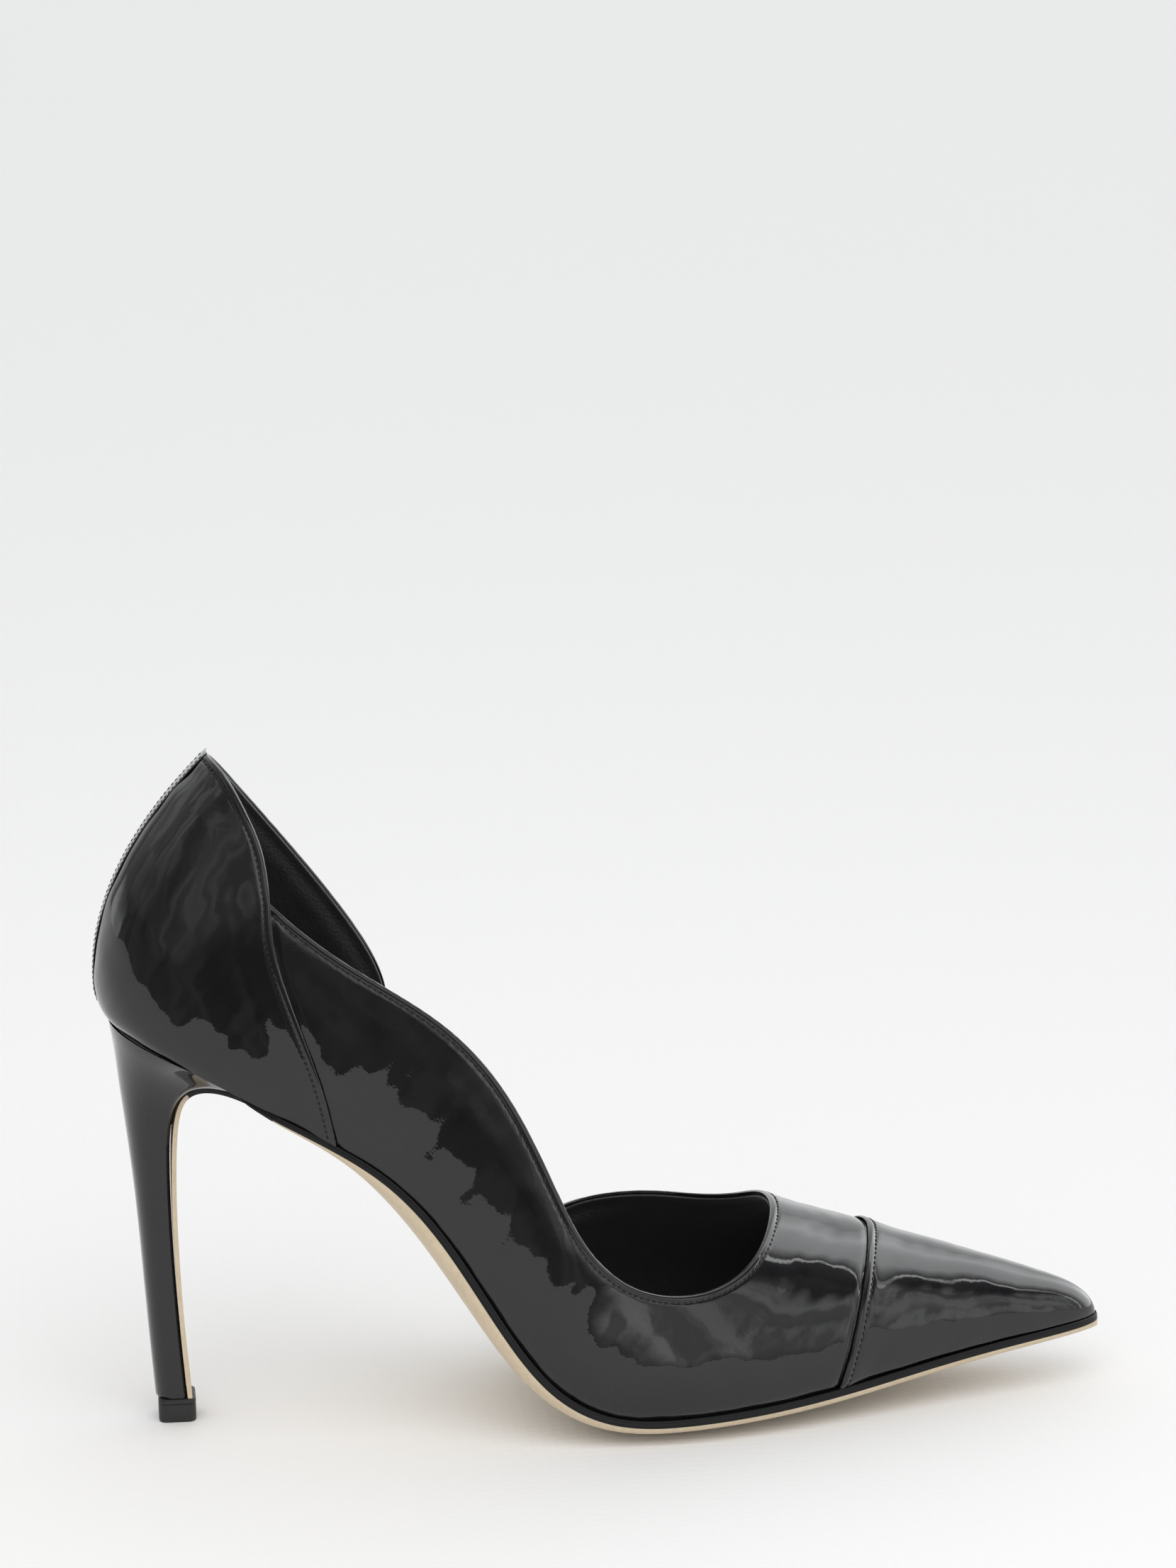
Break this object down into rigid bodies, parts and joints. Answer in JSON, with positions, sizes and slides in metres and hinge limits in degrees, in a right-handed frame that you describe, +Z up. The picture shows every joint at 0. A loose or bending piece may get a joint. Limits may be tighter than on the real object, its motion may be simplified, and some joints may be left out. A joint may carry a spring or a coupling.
{
  "type": "high heel pump",
  "caption": "Pointed-toe pump in black patent leather with a slim covered heel, a stitched toe cap, a wavy closed outer side and a cut-away inner side.",
  "frame": {"origin": "centre of the top lift's ground face", "axes": "+X towards the toe, +Y towards the inner side of this right shoe, +Z up"},
  "size_m": [0.2391, 0.0698, 0.1625],
  "materials": {
    "patent": "mirror gloss patent",
    "lining": "satin",
    "sock_leather": "satin",
    "sole_leather": "smooth satin with a black painted edge",
    "stiffener": "matte",
    "board": "matte",
    "cushion": "matte foam",
    "filler": "cork",
    "steel": "plain",
    "heel_plastic": "moulded",
    "lift_rubber": "matte",
    "thread": "bonded nylon"
  },
  "bodies": {
    "root": {"toe_cap": "patent", "vamp": "patent", "outer_counter": "patent", "inner_quarter": "patent", "back_strip": "patent", "toe_puff": "stiffener", "counter_stiffener": "stiffener", "vamp_lining": "lining", "quarter_lining": "lining", "sock": "sock_leather", "ball_cushion": "cushion", "insole_board": "board", "shank": "steel", "shank_rivet_front": "steel", "shank_rivet_back": "steel", "bottom_filler": "filler", "outsole": "sole_leather", "breast_flap": "sole_leather", "heel_core": "heel_plastic", "heel_cover": "patent", "heel_pin": "steel", "heel_screw": "steel", "heel_nails": "steel", "top_lift": "lift_rubber", "lift_nail": "steel", "topline_thread": "thread", "cap_thread": "thread", "counter_thread": "thread", "back_thread": "thread"}
  },
  "joints": []
}
